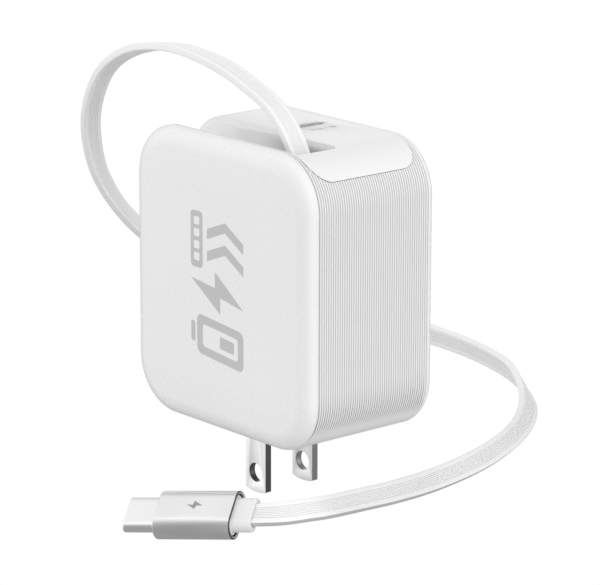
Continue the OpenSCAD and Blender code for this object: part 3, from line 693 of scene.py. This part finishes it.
def rim_cutter():
    """What the round along the channel's far edge takes away; its radius grows to the left."""
    w, h = BW / 2 - BR, BH / 2 - BR
    path = []
    a0 = math.acos((20.9 - BX - w) / BR)
    for k in range(9):
        a = a0 + (math.pi / 2 - a0) * k / 8
        path.append((BX + w + BR * math.cos(a), ZM + h + BR * math.sin(a), math.cos(a), math.sin(a)))
    for k in range(1, 12):
        path.append((BX + w - 2 * w * k / 12, ZM + h + BR, 0.0, 1.0))
    for k in range(32):
        a = math.pi / 2 + math.radians(78.0) * k / 31
        path.append((BX - w + BR * math.cos(a), ZM + h + BR * math.sin(a), math.cos(a), math.sin(a)))
    rings = []
    for x, z, nx, nz in path:
        t = min(1.0, max(0.0, (20.0 - x) / 30.0))
        r = 0.35 + 1.2 * t * t * (3 - 2 * t)
        sec = []
        for k in range(9):
            f = math.radians(90.0 * k / 8)
            sec.append((CH_Y1 + r - 0.004 - r * math.sin(f), r - 0.004 - r * math.cos(f)))
        sec += [(CH_Y1 - 0.4, r - 0.004), (CH_Y1 - 0.4, -0.4), (CH_Y1 + r - 0.004, -0.4)]
        rings.append(np.array([(x - nx * i, y, z - nz * i) for y, i in sec]))
    v, f = rings_mesh(rings)
    me = bpy.data.meshes.new("k12")
    me.from_pydata([tuple(float(c) * MM for c in p) for p in v], [], [tuple(int(i) for i in q) for q in f])
    finish_mesh(me)
    ob = bpy.data.objects.new("k12", me)
    SC.collection.objects.link(ob)
    return ob


band = make_band()
boolean(band, prism_cutter("c1", cap_zone_pts(0.13), "x", XL - 3, XR + 3))
boolean(band, prism_cutter("c2", channel_pts(), "z", CH_Z, 64.0))
boolean(band, rim_cutter())
boolean(band, prism_cutter("c3", [(-7.1, -10.3), (23.3, -10.3), (23.3, 10.3), (-7.1, 10.3)], "z", -1.0, 5.0))
finish_mesh(band.data, 40, fix=False)


# ------------------------------------------------------------------ top cap with the channel's walls
def make_cap():
    P, N = outline(40, 1, 1)
    rings = [ring_at(P, N, Y1 - 1.0, 0.0), ring_at(P, N, Y2 + 1.0, 0.0), ring_at(P, N, Y2 + 1.0, WALL), ring_at(P, N, Y1 - 1.0, WALL)]
    v, f = rings_mesh(rings, closed_tube=True)
    ob = mesh_object("top_cap_shape", v, f, "cap", replaces=("top_cap",), angle=40)
    boolean(ob, prism_cutter("k1", cap_zone_pts(0.0), "x", XL - 3, XR + 3), "INTERSECT")
    # walls of the channel, hanging from the cap
    P2, N2 = outline(40, 1, 1)
    q = P2 - N2 * (WALL + 0.1)
    boxes = prism_cutter("k2", q, "y", CH_Y1 - 1.3, TY1)
    boolean(boxes, prism_cutter("k3", [(XL, CH_Z + 0.02), (CH_END + 1.1, CH_Z + 0.02), (CH_END + 1.1, 60.4), (XL, 60.4)], "y", -20, 0), "INTERSECT")
    boolean(ob, boxes, "UNION")
    boxes = prism_cutter("k4", q, "y", CH_Y0 + 0.1, TY1)
    boolean(boxes, prism_cutter("k5", [(CH_END - 1.3, CH_Z + 0.02), (CH_END + 1.1, CH_Z + 0.02), (CH_END + 1.1, 60.4), (CH_END - 1.3, 60.4)], "y", -20, 0), "INTERSECT")
    boolean(ob, boxes, "UNION")
    q = P2 - N2 * (WALL - 0.3)
    boxes = prism_cutter("k6", q, "y", CH_Y1 - 1.3, TY1)
    boolean(boxes, prism_cutter("k7", [(XL, 56.0), (CH_END + 1.1, 56.0), (CH_END + 1.1, 60.5), (XL, 60.5)], "y", -20, 0), "INTERSECT")
    boolean(ob, boxes, "UNION")
    boxes = prism_cutter("k8", q, "y", CH_Y0 + 0.1, TY1)
    boolean(boxes, prism_cutter("k9", [(CH_END - 1.3, 56.0), (CH_END + 1.1, 56.0), (CH_END + 1.1, 60.5), (CH_END - 1.3, 60.5)], "y", -20, 0), "INTERSECT")
    boolean(ob, boxes, "UNION")
    boolean(ob, prism_cutter("k10", channel_pts(), "z", CH_Z - 1.0, 66.0))

    boolean(ob, rim_cutter())
    # socket opening
    pts = []
    w, t = 9.3, 3.5
    for k in range(17):
        a = math.radians(180.0 * k / 16)
        pts.append((BX + t / 2 * math.cos(a), 4.5 + (w - t) / 2 + t / 2 * math.sin(a)))
    for k in range(17):
        a = math.radians(180 + 180.0 * k / 16)
        pts.append((BX + t / 2 * math.cos(a), 4.5 - (w - t) / 2 + t / 2 * math.sin(a)))
    boolean(ob, prism_cutter("k11", pts, "z", 55.5, 64.0))

    def mouth(co):
        return abs(co.x - BX) < 2.0 and abs(co.y - 4.5) < 5.0 and abs(co.z - BH) < 0.02
    bevel_where(ob, mouth, 0.22, 3)
    bm = bmesh.new()
    bm.from_mesh(ob.data)
    bmesh.ops.remove_doubles(bm, verts=bm.verts, dist=0.002 * MM)
    bmesh.ops.dissolve_degenerate(bm, dist=0.0005 * MM, edges=bm.edges)
    bm.to_mesh(ob.data)
    bm.free()
    finish_mesh(ob.data, 40)
    return ob


cap = make_cap()


# ------------------------------------------------------------------ outlet blades
def make_blade(name, s, node):
    by, t, w = 12.7 / 2 * s, 1.52, 6.35
    y0, y1 = by - t / 2, by + t / 2
    pts = [(-1.2, 6.25), (-w / 2, 6.25)]
    pts += [(-w / 2, -15.4)]
    for k in range(1, 12):
        x = -w / 2 + w * k / 12
        pts.append((x, -15.9 + 11 - math.sqrt(121 - x * x)))
    pts += [(w / 2, -15.4), (w / 2, 6.25), (1.2, 6.25), (1.2, 8.5), (-1.2, 8.5)]
    ob = prism_cutter(name, pts, "y", y0, y1)
    hole = [(2.0 * math.cos(2 * math.pi * k / 40), -11.65 + 2.0 * math.sin(2 * math.pi * k / 40)) for k in range(40)]
    boolean(ob, prism_cutter(name + "_h", hole, "y", y0 - 1, y1 + 1))
    bevel_where(ob, lambda co: co.z < 3, 0.13, 2, angle=50)
    ob.data.materials.clear()
    # painted shade: the rear blade takes the darker copy of the nickel
    ob.data.materials.append(M["blade" if s < 0 else "blade_b"])
    ob.data.materials.append(M["edge" if s < 0 else "edge_b"])
    # painted shade: the thickness sides and the bore take the darker edge copy of the nickel
    for poly in ob.data.polygons:
        side = abs(poly.normal.x) > 0.9 and abs(abs(poly.center.x) - w / 2 * MM) < 0.05 * MM
        bore = abs(poly.normal.y) < 0.5 and math.hypot(poly.center.x, poly.center.z + 11.65 * MM) < 2.05 * MM
        poly.material_index = 1 if side or bore else 0
    finish_mesh(ob.data, 35, fix=False)
    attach(ob, "blade_unit")
    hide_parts(node)
    return ob


make_blade("blade_front_shape", -1, "blade_front")
make_blade("blade_rear_shape", 1, "blade_rear")


# ------------------------------------------------------------------ printed marks, generic
def pill_outline(x0, x1, z0, z1, r, n=5):
    pts = []
    for cx, cz, a0 in ((x1 - r, z0 + r, -90), (x1 - r, z1 - r, 0), (x0 + r, z1 - r, 90), (x0 + r, z0 + r, 180)):
        for k in range(n + 1):
            a = math.radians(a0 + 90.0 * k / n)
            pts.append((cx + r * math.cos(a), cz + r * math.sin(a)))
    return pts


def front_y(x, z):
    """Front face of the cover, which is very slightly crowned."""
    w, h = BW / 2, BH / 2
    d = min(w - abs(x - BX), h - abs(z - ZM))
    t = min(1.0, max(0.0, (d - 4.3) / (10.9 - 4.3)))
    return -(19.3 - 0.18 * (1 - t) ** 2)


def sheared(poly):
    return [(u, v + 0.10 * (10.9 - u)) for u, v in poly]


def frame_quads(outer, inner):
    n = len(outer)
    return [[outer[k], outer[(k + 1) % n], inner[(k + 1) % n], inner[k]] for k in range(n)]


def big_bolt(u0, u1, v0, v1):
    """Lightning bolt that reads upwards, between u0 (its top) and u1 (its foot)."""
    shape = [(0.0, 0.62), (0.56, 0.04), (0.56, 0.42), (1.0, 0.36), (0.46, 0.98), (0.46, 0.60)]
    return [(u0 + (u1 - u0) * a, v0 + (v1 - v0) * b) for a, b in shape]


def chevron(v0, v1, u0, u1, w):
    """Arrow head pointing up, v0 at its wings, v1 at its tip."""
    um = (u0 + u1) / 2
    return [[(u0, v0), (um, v1 - w), (um, v1), (u0, v0 + w)], [(um, v1 - w), (u1, v0), (u1, v0 + w), (um, v1)]]


battery = frame_quads(pill_outline(-3.9, 10.9, 14.3, 22.6, 1.5), pill_outline(-2.1, 9.1, 16.1, 20.8, 0.7))
battery += [pill_outline(-5.8, -4.5, 16.3, 20.6, 0.45), pill_outline(3.4, 7.9, 17.2, 19.7, 0.35)]
marks = [sheared(q) for q in battery + [big_bolt(-5.8, 10.9, 24.0, 33.0)]]
marks += [sheared(q) for q in chevron(34.3, 39.2, -0.6, 10.9, 2.1) + chevron(38.9, 43.8, -0.6, 10.9, 2.1)]
badge = pill_outline(-5.8, -2.0, 33.6, 45.4, 0.9)
marks.append(badge)
plate("front_mark", marks, lambda u, v: (u, -19.295, v), (0, -1, 0), 0.02, "mark")
plate("front_mark_dashes", [pill_outline(-4.8, -3.0, 35.0 + 2.5 * k, 36.7 + 2.5 * k, 0.45) for k in range(4)], lambda u, v: (u, -19.312, v), (0, -1, 0), 0.012,
      "shell")
plate("socket_mark", [pill_outline(7.0, 8.5, 1.2, 2.0, 0.35), pill_outline(7.2, 8.3, 2.7, 4.3, 0.35), pill_outline(7.2, 8.3, 5.0, 5.5, 0.2),
                      pill_outline(7.0, 8.5, 6.2, 7.8, 0.35)],
      lambda u, v: (u, v, 60.995), (0, 0, 1), 0.015, "mark")


# ------------------------------------------------------------------ floor and light
def make_floor():
    """Pale paper: white to the camera, and no bounce onto the part, which the soft boxes all round light instead."""
    me = bpy.data.meshes.new("floor")
    s = 3.0
    n = 12
    v, f = [], []
    for j in range(n + 1):
        for i in range(n + 1):
            v.append((-s + 2 * s * i / n, -s + 2 * s * j / n, -0.01595))
    for j in range(n):
        for i in range(n):
            a = j * (n + 1) + i
            f.append((a, a + 1, a + n + 2, a + n + 1))
    me.from_pydata(v, [], f)
    ob = bpy.data.objects.new("floor", me)
    SC.collection.objects.link(ob)
    m = bpy.data.materials.new("floor_paper")
    m.use_nodes = True
    nt = m.node_tree
    nt.nodes.clear()
    out = nd(nt, "ShaderNodeOutputMaterial", 800, 0)
    tc = nd(nt, "ShaderNodeTexCoord", -600, 0)
    noise = nd(nt, "ShaderNodeTexNoise", -400, 0, Scale=40.0, Detail=3.0)
    ramp = nd(nt, "ShaderNodeValToRGB", -200, 0)
    ramp.color_ramp.elements[0].color = (0.995, 0.995, 0.995, 1)
    ramp.color_ramp.elements[1].color = (1, 1, 1, 1)
    em = nd(nt, "ShaderNodeEmission", 300, 0)
    em.inputs["Strength"].default_value = 1.01
    nt.links.new(tc.outputs["Object"], noise.inputs["Vector"])
    nt.links.new(noise.outputs["Fac"], ramp.inputs["Fac"])
    nt.links.new(ramp.outputs["Color"], em.inputs["Color"])
    nt.links.new(em.outputs[0], out.inputs["Surface"])
    me.materials.append(m)
    ob.visible_diffuse = False
    ob.visible_glossy = False
    ob.visible_transmission = False
    ob.visible_shadow = False
    return ob


make_floor()

# even light all round, and soft boxes: direction, brightness
POWER = 11.0
AMBIENT = 0.37
LIGHTS = [
    (0.03, -0.39, 0.92, 0.46), (-0.50, -0.09, 0.86, 0.24), (0.47, -0.30, 0.83, 0.59), (-0.30, -0.57, 0.77, 0.18),
    (0.64, 0.23, 0.73, 0.32), (-0.69, -0.40, 0.61, 0.46), (0.80, -0.18, 0.58, 0.50), (0.67, 0.56, 0.48, 0.40),
    (0.64, -0.64, 0.42, 0.70), (-0.60, -0.72, 0.36, 0.25), (0.94, 0.13, 0.33, 0.29), (-0.78, 0.55, 0.30, 0.61),
    (-0.93, -0.30, 0.20, 0.54), (0.89, -0.41, 0.17, 0.59), (0.88, 0.46, 0.08, 0.45), (-0.79, -0.61, -0.05, 0.87),
    (0.99, -0.08, -0.08, 0.30), (0.77, -0.59, -0.23, 0.62), (-0.81, -0.38, -0.45, 0.44), (0.84, -0.26, -0.48, 0.45),
]


def make_world():
    w = bpy.data.worlds.new("studio")
    SC.world = w
    w.use_nodes = True
    nt = w.node_tree
    nt.nodes.clear()
    out = nd(nt, "ShaderNodeOutputWorld", 900, 0)
    mix = nd(nt, "ShaderNodeMixShader", 700, 0)
    soft = nd(nt, "ShaderNodeBackground", 450, -100)
    soft.inputs["Color"].default_value = (1, 1, 1, 1)
    plain = nd(nt, "ShaderNodeBackground", 450, 100)
    plain.inputs["Color"].default_value = (1, 1, 1, 1)
    plain.inputs["Strength"].default_value = 1.01
    lp = nd(nt, "ShaderNodeLightPath", 200, 300)
    tc = nd(nt, "ShaderNodeTexCoord", -900, 0)
    acc = None
    for k, (x, y, z, bright) in enumerate(LIGHTS):
        dot = nd(nt, "ShaderNodeVectorMath", -600, -60 * k)
        dot.operation = "DOT_PRODUCT"
        dot.inputs[1].default_value = (x, y, z)
        nt.links.new(tc.outputs["Generated"], dot.inputs[0])
        top = nd(nt, "ShaderNodeMath", -450, -60 * k)
        top.operation = "MAXIMUM"
        top.inputs[1].default_value = 0.0
        nt.links.new(dot.outputs["Value"], top.inputs[0])
        pw = nd(nt, "ShaderNodeMath", -300, -60 * k)
        pw.operation = "POWER"
        pw.inputs[1].default_value = POWER
        nt.links.new(top.outputs[0], pw.inputs[0])
        ad = nd(nt, "ShaderNodeMath", -150, -60 * k)
        ad.operation = "MULTIPLY_ADD"
        ad.inputs[1].default_value = bright
        if acc is None:
            ad.inputs[2].default_value = AMBIENT
        else:
            nt.links.new(acc, ad.inputs[2])
        nt.links.new(pw.outputs[0], ad.inputs[0])
        acc = ad.outputs[0]
    nt.links.new(acc, soft.inputs["Strength"])
    nt.links.new(lp.outputs["Is Camera Ray"], mix.inputs[0])
    nt.links.new(soft.outputs[0], mix.inputs[1])
    nt.links.new(plain.outputs[0], mix.inputs[2])
    nt.links.new(mix.outputs[0], out.inputs["Surface"])
    return w


def area(name, loc, target, size, power, size_y=None):
    li = bpy.data.lights.new(name, "AREA")
    li.shape = "RECTANGLE"
    li.size = size
    li.size_y = size_y or size
    li.energy = power
    ob = bpy.data.objects.new(name, li)
    SC.collection.objects.link(ob)
    ob.location = loc
    d = Vector(target) - Vector(loc)
    ob.rotation_euler = d.to_track_quat("-Z", "Y").to_euler()
    return ob


make_world()
area("key_top", (-0.1, -0.25, 0.75), (0, 0, 0.03), 0.6, 0.18)
SC.view_settings.view_transform = "Standard"
